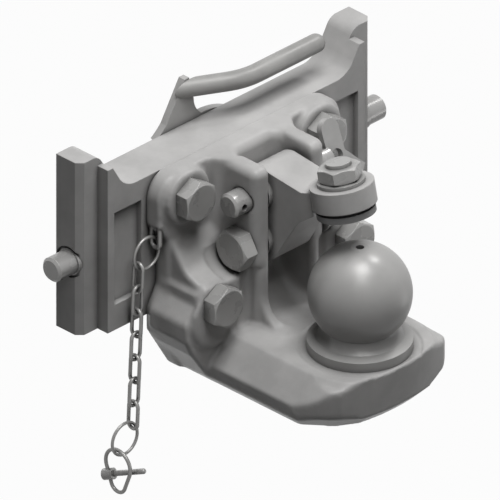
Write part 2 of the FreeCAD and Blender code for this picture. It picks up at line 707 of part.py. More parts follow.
def make_hitch_body():
    """Casting: flange on the slide, lower bolt bosses, two lugs, and the ball platform."""
    body = new_body("hitch_body")
    half = "flange_width / 2"
    flange_front = FRONT + " - flange_thickness"
    foot = attach(body, "foot_outline", "XZ_Plane", "-" + FRONT + " + back_rim")
    wide = "(flange_width / 2 + foot_proud)"
    right = [
        ("platform_keel / 2", "platform_floor"),
        ("platform_width / 2", "platform_side"),
        (wide + " - 6", "foot_bottom - 7"),
        (wide, "foot_bottom + 6"),
        (wide, "foot_top + 2"),
        (WAIST + " + 1.5", "waist_bottom - 4"),
        (WAIST + " + 1", "shelf_top - 8"),
        (WAIST + " - 7", "shelf_top"),
    ]
    left = [("-(%s)" % x, y) for x, y in reversed(right)]
    draw_loop(foot, right + left)
    feature(body, "Pad", foot, FRONT + " - back_rim - boss_front")
    for name, radius, x, z in [
        ("boss_round_waist", "foot_rim * 2", WAIST + " + 1.5", "waist_bottom - 4"),
        ("boss_round_upper", "foot_rim * 3", wide, "foot_top + 2"),
        ("boss_round_lower", "foot_rim * 3", wide, "foot_bottom + 6"),
        ("boss_round_foot", "foot_rim * 3", wide + " - 6", "foot_bottom - 7"),
        ("boss_round_top", "foot_rim", WAIST + " - 7", "shelf_top"),
        ("boss_round_side", "foot_rim", WAIST + " + 1", "shelf_top - 8"),
    ]:
        round_off(body, name, radius, upright(x, z))
    front = size("boss_front")
    round_off(body, "foot_rim_round", "foot_rim",
              lambda edge: near(edge.BoundBox.YMin, front) and near(edge.BoundBox.YMax, front))
    outline = attach(body, "flange_outline", "XZ_Plane", "-" + FRONT)
    right = [
        ("foot_floor_width / 2", "foot_floor"),
        (half, "foot_bottom"),
        (half, "foot_top"),
        (WAIST, "waist_bottom"),
        (WAIST, "waist_top"),
        (half, "lobe_bottom"),
        (half, "flange_top"),
    ]
    left = [("-" + x, y) for x, y in reversed(right)]
    draw_loop(outline, right + left)
    feature(body, "Pad", outline, "flange_thickness")
    for name, radius, x, z in [
        ("flange_corners", "flange_corner", half, "flange_top"),
        ("lobe_rounds", "flange_corner / 2", half, "lobe_bottom"),
        ("waist_hollows", "flange_corner / 3", WAIST, "waist_top"),
    ]:
        round_off(body, name, radius, upright(x, z))
    front = number(flange_front)
    seam = size("slope_top") + 1
    round_off(body, "flange_rim_round", "flange_rim",
              lambda edge: near(edge.BoundBox.YMin, front) and near(edge.BoundBox.YMax, front)
              and edge.BoundBox.ZMin > seam)
    slope = attach(body, "slope_profile", "YZ_Plane")
    draw_loop(slope, [
        (FRONT + " - back_rim", "shelf_top - 12"),
        (FRONT + " - back_rim", "slope_top"),
        (flange_front, "slope_top"),
        ("slope_foot", "slope_foot_height"),
        ("shelf_back", "shelf_top + shelf_rise"),
        ("boss_front + foot_rim", "shelf_top - 0.5"),
        ("boss_front + foot_rim", "shelf_top - 12"),
    ], {3: ("slope_hollow", -1)})
    feature(body, "Pad", slope, "2 * (%s - slope_inset)" % WAIST, midplane=True)
    add_lugs(body, flange_front)
    return body


def upright(x, z):
    """A test for the edges along Y that pass a point of the XZ plane, or its mirror image."""
    across = number(x)
    height = number(z)
    return lambda edge: (along(edge, "y") and near(abs(edge.CenterOfMass.x), across)
                         and near(edge.CenterOfMass.z, height))


def add_lugs(body, flange_front):
    """Back wall and the two lugs, rounded at their noses and along their upper outer edges."""
    wall = attach(body, "back_wall", "XY_Plane", "platform_top")
    draw_loop(wall, [
        ("-lug_inner", FRONT),
        ("-lug_inner", "pocket_back - 2"),
        ("lug_inner", "pocket_back - 2"),
        ("lug_inner", FRONT),
    ])
    feature(body, "Pad", wall, "flange_top - platform_top")
    webs = attach(body, "web_outline", "XY_Plane", "platform_top")
    for sign in ("-", ""):
        draw_loop(webs, [
            (sign + "(lug_inner - 8)", FRONT),
            (sign + "(lug_inner - 8)", "lug_front"),
            (sign + "web_outer", "lug_front"),
            (sign + "web_outer", FRONT),
        ])
    feature(body, "Pad", webs, "flange_top - platform_top - 20")
    web = size("web_outer")
    front = size("lug_front")
    round_off(body, "web_rounds", "lug_round", lambda edge: along(edge, "z")
              and near(abs(edge.CenterOfMass.x), web) and near(edge.CenterOfMass.y, front))
    lugs = attach(body, "lug_outline", "XY_Plane", "lug_nose_bottom")
    for sign in ("-", ""):
        draw_loop(lugs, [
            (sign + "(lug_inner - 8)", FRONT),
            (sign + "(lug_inner - 8)", "lug_front"),
            (sign + "lug_outer", "lug_front"),
            (sign + "lug_outer", "pin_line + pin_diameter"),
            (sign + "lug_root", flange_front + " - 2"),
            (sign + "lug_root", FRONT),
        ])
    feature(body, "Pad", lugs, "flange_top - lug_nose_bottom")
    outer = size("lug_outer")
    round_off(body, "nose_rounds", "lug_round", lambda edge: along(edge, "z")
              and near(abs(edge.CenterOfMass.x), outer) and near(edge.CenterOfMass.y, front))
    top = size("flange_top")
    inner = size("lug_inner") - 6
    bend = number("pin_line + pin_diameter") + 0.5
    round_off(body, "lug_top_rounds", "lug_top_round",
              lambda edge: near(edge.BoundBox.ZMin, top) and near(edge.BoundBox.ZMax, top)
              and edge.BoundBox.YMax < bend and abs(edge.CenterOfMass.x) > inner)


def finish_hitch_body(body):
    """Ball platform, hollows, bores and machined faces of the hitch casting."""
    deck = attach(body, "platform_section", "XZ_Plane", "-boss_front - 2")
    draw_loop(deck, [
        ("-platform_keel / 2", "platform_floor"),
        ("platform_keel / 2", "platform_floor"),
        ("platform_width / 2 - 1", "platform_side"),
        ("platform_width / 2", "platform_edge"),
        ("platform_flat / 2", "platform_top"),
        ("-platform_flat / 2", "platform_top"),
        ("-platform_width / 2", "platform_edge"),
        ("-platform_width / 2 + 1", "platform_side"),
    ])
    feature(body, "Pad", deck, "boss_front + 2 - nose_front")
    nose = attach(body, "nose_outline", "XY_Plane", "platform_floor - 1")
    reach = "platform_width / 2"
    draw_loop(nose, [
        (reach + " + 20", "nose_side"),
        (reach, "nose_side"),
        ("nose_corner_x", "nose_corner_y"),
        ("-nose_corner_x", "nose_corner_y"),
        ("-" + reach, "nose_side"),
        ("-" + reach + " - 20", "nose_side"),
        ("-" + reach + " - 20", "nose_front - 20"),
        (reach + " + 20", "nose_front - 20"),
    ], {
        1: ("nose_turn", -1),
        2: ("(nose_corner_x ^ 2 + (nose_corner_y - nose_front) ^ 2) / (2 * (nose_corner_y - nose_front))", -1),
        3: ("nose_turn", -1),
    })
    feature(body, "Pocket", nose, "platform_top - platform_floor + 2", reverse=True)
    floor = size("platform_floor")
    turn = size("nose_corner_y") + 0.5
    round_off(body, "nose_bevels", "nose_bevel",
              lambda edge: near(edge.BoundBox.ZMin, floor) and near(edge.BoundBox.ZMax, floor)
              and edge.BoundBox.YMax < turn, "Chamfer")
    round_off(body, "platform_rims", "platform_rim", upright("platform_width / 2", "platform_edge"))
    cone = attach(body, "cone_profile", "XZ_Plane")
    draw_loop(cone, [
        ("platform_flat / 2", "platform_top"),
        ("cone_rim", "platform_top - cone_drop"),
        ("cone_rim + 30", "platform_top - cone_drop - 5"),
        ("cone_rim + 30", "platform_top + 1"),
        ("platform_flat / 2", "platform_top + 1"),
    ])
    groove = turned(body, "Groove", cone, "Z_Axis")
    groove.Angle = 180
    groove.Reversed = True
    doc.recompute()
    heel = attach(body, "heel_profile", "YZ_Plane")
    draw_loop(heel, [
        ("boss_front + 2", "platform_top - 1"),
        ("boss_front + 2", "platform_top + heel_round"),
        ("lug_front", "platform_top + heel_round"),
        ("lug_front - heel_round", "platform_top"),
        ("lug_front - heel_round", "platform_top - 1"),
    ], {2: ("heel_round", -1)})
    feature(body, "Pad", heel, "2 * heel_width", midplane=True)
    pocket = attach(body, "pocket_profile", "YZ_Plane")
    draw_loop(pocket, [
        ("pocket_back", "flange_top + 1"),
        ("pocket_back", "platform_top + pocket_sweep"),
        ("pocket_back - pocket_sweep", "platform_top"),
        ("lug_front - heel_round - 10", "platform_top"),
        ("lug_front - heel_round - 10", "flange_top + 1"),
    ], {1: ("pocket_sweep", -1)})
    feature(body, "Pocket", pocket, "2 * lug_inner", midplane=True)
    inner = size("lug_inner")
    back = size("pocket_back")
    round_off(body, "pocket_corners", "pocket_corner", lambda edge: along(edge, "z")
              and near(abs(edge.CenterOfMass.x), inner) and near(edge.CenterOfMass.y, back))
    rim = attach(body, "pocket_rim", "YZ_Plane")
    draw_loop(rim, [
        ("pocket_back - 1", "flange_top - pocket_round"),
        ("pocket_back", "flange_top - pocket_round"),
        ("pocket_back + pocket_round", "flange_top"),
        ("pocket_back + pocket_round", "flange_top + 1"),
        ("pocket_back - 1", "flange_top + 1"),
    ], {1: ("pocket_round", -1)})
    path = attach(body, "rim_path", "XY_Plane", "flange_top")
    corner = number("lug_inner - pocket_corner")
    straight = path.addGeometry(Part.LineSegment(Vector(0, back, 0), Vector(corner, back, 0)))
    turn = path.addGeometry(arc_between(Vector(corner, back, 0), Vector(inner, number("pocket_back - pocket_corner"), 0),
                                        size("pocket_corner"), -1))
    pin_point(path, straight, 1, "0", "pocket_back")
    pin_point(path, straight, 2, "lug_inner - pocket_corner", "pocket_back")
    pin_point(path, turn, 1, "lug_inner", "pocket_back - pocket_corner")
    path.addConstraint(Sketcher.Constraint("Coincident", straight, 2, turn, 2))
    rule = Sketcher.Constraint("Radius", turn, size("pocket_corner"))
    bind(path, "Constraints[%d]" % path.addConstraint(rule), "pocket_corner")
    sweep = body.newObject("PartDesign::SubtractivePipe", "pocket_rim_sweep")
    sweep.Profile = rim
    sweep.Spine = (path, ["Edge1", "Edge2"])
    doc.recompute()
    mirror = body.newObject("PartDesign::Mirrored", "pocket_rim_mirror")
    mirror.Originals = [sweep]
    mirror.MirrorPlane = (origin_item(body, "YZ_Plane"), [""])
    body.Tip = mirror
    doc.recompute()
    add_bores(body)
    return body


def add_bores(body):
    """Bolt seats, bolt holes, pin bores, staple holes, and the ball's seat."""
    seats = attach(body, "upper_seats", "XZ_Plane", "-" + FRONT + " + flange_thickness")
    for sign in ("-", ""):
        draw_circle(seats, sign + "bolt_spacing_x / 2", "bolt_row_upper", "seat_upper / 2")
    feature(body, "Pad", seats, "seat_height_upper")
    low_seats = attach(body, "lower_seats", "XZ_Plane", "-boss_front")
    for sign, side in (("-", -1), ("", 1)):
        inner = sign + "(bolt_spacing_x / 2 - seat_diameter / 2)"
        outer = sign + "(bolt_spacing_x / 2 + seat_diameter / 2)"
        draw_loop(low_seats, [
            (inner, "bolt_row_lower - seat_drop"),
            (outer, "bolt_row_lower - seat_drop"),
            (outer, "bolt_row_lower - 4"),
            (sign + "(bolt_spacing_x / 2 + seat_diameter / 4)", "shelf_top - foot_rim"),
            (inner, "shelf_top - foot_rim"),
        ], {0: ("seat_diameter / 2 + 0.001", side)})
    feature(body, "Pad", low_seats, "seat_height_lower")
    trim = attach(body, "top_trim", "XY_Plane", "flange_top")
    draw_loop(trim, [
        ("-flange_width / 2", "pin_line"),
        ("flange_width / 2", "pin_line"),
        ("flange_width / 2", FRONT),
        ("-flange_width / 2", FRONT),
    ])
    feature(body, "Pocket", trim, "seat_upper / 2", reverse=True)
    holes = attach(body, "bolt_holes", "XZ_Plane", "-" + FRONT)
    for sign in ("-", ""):
        for height in ("bolt_row_upper", "bolt_row_lower"):
            draw_circle(holes, sign + "bolt_spacing_x / 2", height, "bolt_diameter / 2 + bolt_hole_gap")
    feature(body, "Pocket", holes, FRONT + " - boss_front + 20", reverse=True)
    bores = attach(body, "lug_bores", "YZ_Plane")
    for height in ("pin_height", "pivot_height"):
        draw_circle(bores, "pin_line", height, "pin_diameter / 2 + running_gap")
    feature(body, "Pocket", bores, "2 * lug_root + 30", midplane=True)
    for sign, reverse in (("", True), ("-", False)):
        seat = attach(body, "pivot_seat_" + ("right" if reverse else "left"), "YZ_Plane", sign + "lug_outer")
        draw_circle(seat, "pin_line", "pivot_height", "pivot_seat / 2")
        feature(body, "Pocket", seat, "pivot_seat_reach", reverse=reverse)
    legs = attach(body, "staple_holes", "XY_Plane", "lobe_bottom + staple_bite")
    for sign in ("-", "+"):
        draw_circle(legs, STAPLE_X, "staple_y %s staple_span / 2" % sign, "staple_wire / 2 + running_gap")
    feature(body, "Pocket", legs, "staple_bite + 20")
    face = attach(body, "spotface", "XY_Plane", "platform_top")
    draw_circle(face, "0", "0", "spotface_diameter / 2")
    feature(body, "Pocket", face, "spotface_depth")
    shank = attach(body, "shank_bore", "XY_Plane", "platform_top")
    draw_circle(shank, "0", "0", "shank_diameter / 2 + running_gap")
    feature(body, "Pocket", shank, "platform_top - platform_floor")
    under = attach(body, "counterbore", "XY_Plane", "platform_floor")
    draw_circle(under, "0", "0", "counterbore_diameter / 2")
    feature(body, "Pocket", under, "counterbore_depth", reverse=True)


def make_arm():
    """Hold-down arm: hub round its two pins, a bent beam, and a tilted eye over the ball."""
    body = new_body("hold_down_arm")
    side = attach(body, "arm_profile", "YZ_Plane")
    draw_loop(side, [
        ("pin_line + arm_hub", "pivot_height"),
        ("pin_line + arm_hub", "pin_height"),
        ("pin_line", "pin_height + arm_hub"),
        ("pin_line - 43", "pin_height + arm_hub - 4"),
        ("eye_top * sin(pad_tilt) + 12", "pin_height + arm_hub + 1"),
        ("eye_top * sin(pad_tilt) + 8", "pin_height + 3"),
        ("pin_line - 56", "pin_height"),
        ("pin_line - 41", "pin_height - 11.3"),
        ("pin_line - 28", "pivot_height + 9.5"),
        ("pin_line - arm_hub * cos(24)", "pivot_height - arm_hub * sin(24)"),
        ("pin_line + arm_hub * sin(24)", "pivot_height - arm_hub * cos(24)"),
    ], {
        1: ("arm_hub + 0.001", 1),
        9: ("arm_hub + 0.001", 1),
        10: ("arm_hub + 0.001", 1),
    })
    feature(body, "Pad", side, "arm_width", midplane=True)
    eye = body.newObject("Sketcher::SketchObject", "eye_outline")
    eye.AttachmentSupport = [(origin_item(body, "XY_Plane"), "")]
    eye.MapMode = "FlatFace"
    eye.AttachmentOffset = Placement(Vector(0, 0, 0), Rotation(Vector(-1, 0, 0), 12))
    bind(eye, ".AttachmentOffset.Rotation.Angle", "pad_tilt")
    bind(eye, ".AttachmentOffset.Base.y", "(eye_top - eye_height) * sin(pad_tilt)")
    bind(eye, ".AttachmentOffset.Base.z", "(eye_top - eye_height) * cos(pad_tilt)")
    draw_circle(eye, "0", "0", "eye_diameter / 2")
    feature(body, "Pad", eye, "eye_height")
    bore = body.newObject("Sketcher::SketchObject", "eye_bore")
    bore.AttachmentSupport = [(origin_item(body, "XY_Plane"), "")]
    bore.MapMode = "FlatFace"
    bore.AttachmentOffset = Placement(Vector(0, 0, 0), Rotation(Vector(-1, 0, 0), 12))
    bind(bore, ".AttachmentOffset.Rotation.Angle", "pad_tilt")
    bind(bore, ".AttachmentOffset.Base.y", "(eye_top - eye_height - 5) * sin(pad_tilt)")
    bind(bore, ".AttachmentOffset.Base.z", "(eye_top - eye_height - 5) * cos(pad_tilt)")
    draw_circle(bore, "0", "0", "screw_diameter / 2 + running_gap")
    feature(body, "Pocket", bore, "eye_height + 10", reverse=True)
    clear = body.newObject("Sketcher::SketchObject", "eye_clearance")
    clear.AttachmentSupport = [(origin_item(body, "XY_Plane"), "")]
    clear.MapMode = "FlatFace"
    clear.AttachmentOffset = Placement(Vector(0, 0, 0), Rotation(Vector(-1, 0, 0), 12))
    bind(clear, ".AttachmentOffset.Rotation.Angle", "pad_tilt")
    bind(clear, ".AttachmentOffset.Base.y", "(eye_top - eye_height - 20) * sin(pad_tilt)")
    bind(clear, ".AttachmentOffset.Base.z", "(eye_top - eye_height - 20) * cos(pad_tilt)")
    draw_circle(clear, "0", "0", "eye_diameter / 2")
    feature(body, "Pocket", clear, "20", reverse=True)
    pins = attach(body, "arm_bores", "YZ_Plane", "-arm_width / 2")
    for height in ("pin_height", "pivot_height"):
        draw_circle(pins, "pin_line", height, "bush_outer / 2")
    feature(body, "Pocket", pins, "arm_width", reverse=True)
    return body


def make_bush(name, height):
    """Flanged-width bush that runs from lug to lug through the arm."""
    body = new_body(name)
    length = "(2 * (lug_inner - bush_gap))"
    ring = attach(body, name + "_ring", "XY_Plane", "-" + length + " / 2")
    draw_circle(ring, "0", "0", "bush_outer / 2")
    draw_circle(ring, "0", "0", "pin_diameter / 2 + running_gap")
    feature(body, "Pad", ring, length)
    place(body, ("0", "pin_line", height), Vector(0, 1, 0), "90")
    return body


def make_flange_bolt(name, sign, row, seat):
    """M20 hexagon bolt from the flange's raised seat into the slide."""
    body = new_body(name)
    length = "(%s - %s + slide_back - thread_bite - %s)" % (seat, "slide_back", seat)
    shank = "((%s) - (%s) + thread_bite)" % (FRONT, seat)
    add_round(body, name + "_shank", "bolt_diameter / 2", "0 - " + shank, shank)
    add_hexagon(body, name + "_head", "bolt_flats", "0", "bolt_head_height")
    place(body, (sign + "bolt_spacing_x / 2", seat, row), Vector(1, 0, 0), "90")
    return body


def make_pivot_bolt():
    """Pivot bolt of the arm, head on the left lug."""
    body = new_body("pivot_bolt")
    length = "(2 * lug_outer + pivot_washer_height + pivot_nut_height + 3)"
    add_round(body, "pivot_shank", "pin_diameter / 2", "0", length)
    add_hexagon(body, "pivot_head", "pivot_head_flats", "0 - pivot_head_height", "pivot_head_height",
                chamfer_top=False, chamfer_low=True)
    place(body, ("-lug_outer", "pin_line", "pivot_height"), Vector(0, 1, 0), "90")
    return body


def make_washer(name, outer, inner, height):
    """Flat washer on the body's Z axis."""
    body = new_body(name)
    ring = attach(body, name + "_ring", "XY_Plane")
    draw_circle(ring, "0", "0", outer)
    draw_circle(ring, "0", "0", inner)
    feature(body, "Pad", ring, height)
    return body


def make_nut(name, flats, bore, height):
    """Hexagon nut on the body's Z axis, chamfered on both faces."""
    body = new_body(name)
    add_hexagon(body, name + "_hexagon", flats, "0", height, chamfer_low=True)
    hole = attach(body, name + "_bore", "XY_Plane")
    draw_circle(hole, "0", "0", bore)
    feature(body, "Pocket", hole, height, reverse=True)
    return body


def tilt(body, distance):
    """Stand a sub-part on the pad's axis, at a distance from the ball's centre."""
    place(body, ("0", "(%s) * sin(pad_tilt)" % distance, "(%s) * cos(pad_tilt)" % distance),
          Vector(-1, 0, 0), "pad_tilt")


def make_pad_stack():
    """Screw, lock nut, washer, ring and pressure pad on the eye's tilted axis."""
    top = "(eye_top + nut_washer_height + nut_height + screw_above_nut)"
    bottom = "(eye_top - eye_height - ring_height)"
    screw = new_body("pad_screw")
    add_round(screw, "pad_screw_thread", "screw_diameter / 2", bottom, top + " - " + bottom)
    tilt(screw, "0")
    washer = make_washer("pad_washer", "nut_washer_diameter / 2", "screw_diameter / 2 + running_gap",
                         "nut_washer_height")
    tilt(washer, "eye_top")
    nut = make_nut("pad_lock_nut", "nut_flats", "screw_diameter / 2 + running_gap", "nut_height")
    tilt(nut, "eye_top + nut_washer_height")
    ring = make_washer("pad_ring", "ring_diameter / 2", "screw_diameter / 2 + running_gap", "ring_height")
    tilt(ring, "eye_top - eye_height - ring_height")
    pad = new_body("hold_down_pad")
    add_round(pad, "pad_disc", "pad_diameter / 2", "0 - pad_height", "pad_height")
    tilt(pad, "eye_top - eye_height - ring_height")


def make_hold_down_pin():
    """Pull-out pin with a chamfered end, a cross hole for the linch pin, and a slot for its handle."""
    body = new_body("hold_down_pin")
    profile = attach(body, "hold_pin_profile", "XZ_Plane")
    length = "(pin_right - pin_left)"
    draw_loop(profile, [
        ("0", "0"),
        ("pin_diameter / 2 - pin_chamfer", "0"),
        ("pin_diameter / 2", "pin_chamfer"),
        ("pin_diameter / 2", length),
        ("0", length),
    ])
    turned(body, "Revolution", profile, "Z_Axis")
    hole = attach(body, "linch_pin_hole", "XZ_Plane", "pin_diameter")
    draw_circle(hole, "0", "linch_hole_inset", "linch_hole / 2")
    feature(body, "Pocket", hole, "2 * pin_diameter")
    slot = attach(body, "handle_slot", "XY_Plane", length)
    half = "(handle_thickness / 2)"
    wide = "pin_diameter"
    corners = []
    for u, v in (("-" + half, "-" + wide), (half, "-" + wide), (half, wide), ("-" + half, wide)):
        corners.append((
            "(%s) * sin(handle_lean) + (%s) * cos(handle_lean)" % (u, v),
            "(%s) * cos(handle_lean) - (%s) * sin(handle_lean) - handle_forward" % (u, v),
        ))
    draw_loop(slot, corners)
    feature(body, "Pocket", slot, "handle_socket")
    place(body, ("pin_left", "pin_line", "pin_height"), Vector(0, 1, 0), "90")
    return body


def make_handle():
    """Flat handle in the pin's slot: a foot on the pin's line and a rounded tongue with one hole."""
    body = new_body("pin_handle")
    outline = attach(body, "handle_outline", "XY_Plane", "-handle_thickness / 2")
    edge = "(0 - handle_offset - handle_socket)"
    rim = "(0 - handle_tongue / 2)"
    far = "(handle_tongue / 2)"
    top = "(handle_above - handle_tongue / 2)"
    draw_loop(outline, [
        (edge, "-pin_diameter / 2 + 1"),
        ("handle_foot - handle_tongue / 2 - 2", "-handle_below"),
        ("handle_foot - handle_tongue / 2 + 3", "-handle_below + 6"),
        (far, "2"),
        (far, top),
        (rim, top),
        (rim, "pin_diameter / 2 - 1"),
        (edge, "pin_diameter / 2 - 1"),
    ], {
        4: ("handle_tongue / 2 + 0.001", 1),
    })
    feature(body, "Pad", outline, "handle_thickness")
    hole = attach(body, "handle_eye", "XY_Plane", "-handle_thickness / 2 - 1")
    draw_circle(hole, "0", "0", "handle_hole / 2")
    feature(body, "Pocket", hole, "handle_thickness + 2", reverse=True)
    place(body, ("pin_right + handle_offset", "pin_line - handle_forward", "pin_height"),
          Vector(1, 0, 0), "90 - handle_lean")
    return body


def make_ball():
    """Ball, neck, collar and shank turned as one piece."""
    body = new_body("coupling_ball")
    radius = "(ball_diameter / 2)"
    flat = "(ball_flat / 2)"
    flat_height = "sqrt(%s ^ 2 - %s ^ 2)" % (radius, flat)
    neck = "(neck_diameter / 2)"
    neck_height = "(0 - sqrt(%s ^ 2 - %s ^ 2))" % (radius, neck)
    rim = "(collar_diameter / 2)"
    foot = "(neck_foot / 2)"
    rim_top = "(platform_top - spotface_depth + collar_rim)"
    shank_end = "(platform_floor + counterbore_depth)"
    profile = attach(body, "ball_profile", "XZ_Plane")
    draw_loop(profile, [
        ("0", flat_height + " - ball_hole_depth"),
        ("ball_hole / 2", flat_height + " - ball_hole_depth"),
        ("ball_hole / 2", flat_height),
        (flat, flat_height),
        (neck, neck_height),
        (foot, rim_top + " + collar_rise"),
        (rim, rim_top),
        (rim, "platform_top - spotface_depth"),
        ("shank_diameter / 2", "platform_top - spotface_depth"),
        ("shank_diameter / 2", shank_end),
        ("bolt_diameter / 2 + running_gap", shank_end),
        ("bolt_diameter / 2 + running_gap", shank_end + " + ball_bolt_length + 2"),
        ("0", shank_end + " + ball_bolt_length + 2"),
    ], {3: (radius, -1), 4: ("14", 1)})
    turned(body, "Revolution", profile, "Z_Axis")
    return body


def make_ball_fixings():
    """Washer and bolt that draw the ball's shank into the platform from below."""
    washer = make_washer("ball_washer", "ball_washer_diameter / 2", "bolt_diameter / 2 + running_gap",
                         "ball_washer_height")
    place(washer, ("0", "0", "platform_floor + counterbore_depth - ball_washer_height"))
    bolt = new_body("ball_bolt")
    add_round(bolt, "ball_bolt_shank", "bolt_diameter / 2", "0", "ball_washer_height + ball_bolt_length")
    add_hexagon(bolt, "ball_bolt_head", "bolt_flats", "0 - bolt_head_height", "bolt_head_height",
                chamfer_top=False, chamfer_low=True)
    place(bolt, ("0", "0", "platform_floor + counterbore_depth - ball_washer_height"))


def make_staple():
    """U-shaped staple under the flange's left lobe, in a plane along Y."""
    wire = size("staple_wire") / 2
    half = size("staple_span") / 2
    bend = half
    centre = Vector(number(STAPLE_X), size("staple_y"), size("staple_z") + bend)
    top = size("lobe_bottom") + size("staple_bite")
    front = centre + Vector(0, -half, 0)
    back = centre + Vector(0, half, 0)
    lift = Vector(0, 0, top - centre.z)
    path = Part.Wire([
        Part.LineSegment(front + lift, front).toShape(),
        Part.Arc(front, centre - Vector(0, 0, bend), back).toShape(),
        Part.LineSegment(back, back + lift).toShape(),
    ])
    section = Part.Wire(Part.makeCircle(wire, front + lift, Vector(0, 0, 1)))
    return plain("chain_staple", path.makePipeShell([section], True, False))


def ring_shape(outer, wire):
    """Round ring in the XZ plane."""
    return Part.makeTorus((outer - wire) / 2, wire / 2, Vector(0, 0, 0), Vector(0, 1, 0))


def link_shape(length, width, wire):
    """Chain link in the YZ plane, centred on its upper round's middle, hanging down."""
    bend = (width - wire) / 2
    straight = length - width
    upper = Part.makeTorus(bend, wire / 2, Vector(0, 0, 0), Vector(1, 0, 0))
    lower = Part.makeTorus(bend, wire / 2, Vector(0, 0, -straight), Vector(1, 0, 0))
    over = Part.makeBox(wire * 2, width * 2, width, Vector(-wire, -width, 0))
    under = Part.makeBox(wire * 2, width * 2, width, Vector(-wire, -width, -straight - width))
    body = upper.common(over).fuse(lower.common(under))
    for side in (-1, 1):
        leg = Part.makeCylinder(wire / 2, straight, Vector(0, side * bend, -straight), Vector(0, 0, 1))
        body = body.fuse(leg)
    return body.removeSplitter()


def make_chain():
    """Two rings and seven links from the staple down to the linch pin's bail."""
    ring_wire = size("ring_wire")
    link_wire = size("link_wire")
    gap = size("link_gap")
    ring_mean = (size("ring_outer") - ring_wire) / 2
    line = size("staple_y")
    upper = Vector(number(STAPLE_X) - size("ring_side"), line, size("staple_z") - size("ring_drop"))
    ring = ring_shape(size("ring_outer"), ring_wire)
    plain("upper_ring", ring, Placement(upper, Rotation()))
    hook = ring_mean - (ring_wire + link_wire) / 2 - gap
    top_wire = upper + Vector(-9, 0, -5.6).normalize() * hook
    lean = math.radians(size("chain_lean"))
    down = Vector(-math.sin(lean), 0, -math.cos(lean))
    pitch = size("link_length") - 2 * link_wire - gap
    bend = (size("link_width") - link_wire) / 2
    shape = link_shape(size("link_length"), size("link_width"), link_wire)
    tip = Rotation(Vector(0, 1, 0), size("chain_lean"))
    for i in range(7):
        position = top_wire + down * (i * pitch + bend)
        turn = tip if i % 2 == 0 else tip.multiply(Rotation(Vector(0, 0, 1), 90))
        plain("chain_link_%d" % (i + 1), shape, Placement(position, turn))
    low_wire = top_wire + down * (6 * pitch + size("link_length") - link_wire)
    lower = low_wire + Vector(-8.5, 0, -5.7).normalize() * hook
    plain("lower_ring", ring, Placement(lower, Rotation()))
    return lower, low_wire


def make_linch_pin(ring_centre):
    """Egg-shaped bail hooked in the lower ring, and the linch pin that turns on its straight side."""
    wire = size("bail_wire") / 2
    wide = size("bail_head_radius")
    slim = size("bail_foot_radius")
    apart = size("bail_centres")
    hook = (size("ring_outer") - size("ring_wire")) / 2 - (size("ring_wire") + size("bail_wire")) / 2
    hook -= size("link_gap")
    top_wire = ring_centre + Vector(-0.7, 0, -0.71).normalize() * hook
    slope = math.asin((wide - slim) / apart)
    out = Vector(0, math.cos(slope), -math.sin(slope))
    flip = Vector(0, -math.cos(slope), -math.sin(slope))
    head = Vector(0, 0, -wide)
    foot = Vector(0, 0, -wide - apart)
    back_high = head + out * wide
    back_low = foot + out * slim
    front_high = head + flip * wide
    front_low = foot + flip * slim
    path = Part.Wire([
        Part.LineSegment(back_low, back_high).toShape(),
        Part.Arc(back_high, head + Vector(0, 0, wide), front_high).toShape(),
        Part.LineSegment(front_high, front_low).toShape(),
        Part.Arc(front_low, foot - Vector(0, 0, slim), back_low).toShape(),
    ])
    side = (back_high - back_low).normalize()
    section = Part.Wire(Part.makeCircle(wire, back_low, side))
    bail = path.makePipeShell([section], True, False)
    plain("linch_bail", bail, Placement(top_wire, Rotation()))
    middle = (back_high + back_low) * 0.5
    reach = size("linch_length")
    head_length = size("linch_head_length")
    radius = size("linch_diameter") / 2
    start = Vector(0, 0, head_length / 2)
    pin = Part.makeCylinder(size("linch_head_diameter") / 2, head_length, start, Vector(0, 0, -1))
    pin = pin.fuse(Part.makeCylinder(radius, reach - radius, Vector(0, 0, 0), Vector(0, 0, -1)))
    pin = pin.fuse(Part.makeSphere(radius, Vector(0, 0, radius - reach)))
    head = size("linch_head_diameter")
    through = Part.makeCylinder(wire + size("running_gap"), 2 * head, Vector(-head, 0, 0), Vector(1, 0, 0))
    pin = pin.cut(through)
    aim = out.negative()
    aim = Rotation(side, size("linch_swing")).multVec(aim)
    turn = Rotation(side, side.cross(aim.negative()), aim.negative(), "XZY")
    plain("linch_pin", pin, Placement(top_wire + middle, turn))


make_carriage()
for word, side, sign in (("left", -1, "-"), ("right", 1, "")):
    make_locking_pin("locking_pin_" + word, side)
    make_follower("follower_stud_" + word, sign)
    make_spring("pin_spring_" + word, side)
make_lever_plate()
make_grip()
make_lever_bolt()
finish_hitch_body(make_hitch_body())
UPPER_SEAT = "(" + FRONT + " - flange_thickness - seat_height_upper)"
LOWER_SEAT = "(boss_front - seat_height_lower)"
for word, sign in (("left", "-"), ("right", "")):
    make_flange_bolt("flange_bolt_upper_" + word, sign, "bolt_row_upper", UPPER_SEAT)
    make_flange_bolt("flange_bolt_lower_" + word, sign, "bolt_row_lower", LOWER_SEAT)
make_arm()
make_bush("arm_bush_upper", "pin_height")
make_bush("arm_bush_lower", "pivot_height")
make_pivot_bolt()
washer = make_washer("pivot_washer", "pivot_washer_diameter / 2", "pin_diameter / 2 + running_gap",
                     "pivot_washer_height")
place(washer, ("lug_outer", "pin_line", "pivot_height"), Vector(0, 1, 0), "90")
nut = make_nut("pivot_nut", "pivot_head_flats", "pin_diameter / 2 + running_gap", "pivot_nut_height")
place(nut, ("lug_outer + pivot_washer_height", "pin_line", "pivot_height"), Vector(0, 1, 0), "90")
make_hold_down_pin()
make_handle()
make_pad_stack()
make_ball()
make_ball_fixings()
make_staple()
lower_ring_centre, last_link_foot = make_chain()
make_linch_pin(lower_ring_centre)
doc.recompute()

